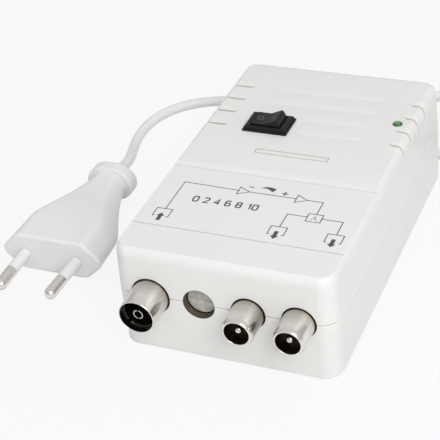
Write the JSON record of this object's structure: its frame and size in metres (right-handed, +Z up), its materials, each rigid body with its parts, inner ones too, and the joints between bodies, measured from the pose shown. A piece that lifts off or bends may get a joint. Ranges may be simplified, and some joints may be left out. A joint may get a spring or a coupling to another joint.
{
  "type": "tv signal amplifier",
  "caption": "Flat white aerial signal amplifier box with coaxial plugs and socket in front, a rocker switch and pilot light on its grooved top, and a corded flat mains plug.",
  "frame": {"origin": "middle of the housing's flat underside", "axes": "+X to the right seen from the connectors, +Y from the connectors to the mains lead's wall, +Z up"},
  "size_m": [0.1759, 0.1866, 0.0396],
  "materials": {
    "housing_plastic": "fine moulded satin",
    "label_film": "matt printed film",
    "zinc_steel": "zinc plated",
    "switch_plastic": "satin black",
    "green_lens": "diffused lens",
    "nickel": "satin nickel plate",
    "contact_brass": "plated spring brass",
    "black_insulator": "moulded",
    "grey_plastic": "moulded",
    "blue_plastic": "sleeved",
    "tinned_sheet": "tinned",
    "green_board": "solder mask",
    "tan_board": "bare laminate",
    "core_iron": "varnished plates",
    "bobbin_plastic": "moulded",
    "copper_wire": "enamelled copper",
    "fuse_glass": "clear",
    "brown_insulation": "sheathed",
    "red_insulation": "sheathed",
    "cord_sheath": "satin flexible sheath",
    "tie_plastic": "moulded",
    "plug_plastic": "moulded satin"
  },
  "bodies": {
    "housing": {"top_cover": "housing_plastic", "base_shell": "housing_plastic", "label": "label_film", "housing_screws": "zinc_steel", "switch_body": "switch_plastic", "switch_terminals": "zinc_steel", "power_led": "green_lens", "led_leads": "zinc_steel", "input_shell": "nickel", "input_sleeve": "nickel", "input_insulator": "black_insulator", "input_contact": "contact_brass", "left_output_shell": "nickel", "left_output_insulator": "black_insulator", "left_output_pin": "nickel", "right_output_shell": "nickel", "right_output_insulator": "black_insulator", "right_output_pin": "nickel", "gain_pot": "blue_plastic", "shield_can": "tinned_sheet", "shield_lid": "tinned_sheet", "amplifier_board": "green_board", "amplifier_chips": "black_insulator", "power_board": "tan_board", "board_screws": "zinc_steel", "transformer_core": "core_iron", "transformer_bobbin": "bobbin_plastic", "transformer_winding": "copper_wire", "smoothing_capacitor": "blue_plastic", "rectifier_diodes": "black_insulator", "voltage_regulator": "black_insulator", "mains_fuse": "fuse_glass", "fuse_clips": "zinc_steel", "mains_wires": "brown_insulation", "supply_wire": "red_insulation", "cord_gland": "cord_sheath", "gland_cord": "cord_sheath", "cord_coil": "cord_sheath", "cord_tie": "tie_plastic", "plug_cord": "cord_sheath", "plug_body": "plug_plastic", "plug_pin_sleeves": "plug_plastic", "plug_pins": "nickel"},
    "rocker": {"switch_rocker": "switch_plastic"},
    "gain_adjuster": {"gain_knob": "grey_plastic"}
  },
  "joints": [
    {"name": "rocker_tilt", "type": "hinge", "parent": "housing", "child": "rocker", "pos_m": [-0.0115, 0.0164, 0.0363], "axis": [0, 1, 0], "range_deg": [0, 24]},
    {"name": "gain_turn", "type": "hinge", "parent": "housing", "child": "gain_adjuster", "pos_m": [-0.0071, -0.052, 0.0195], "axis": [0, 1, 0], "range_deg": [-135, 135]}
  ]
}
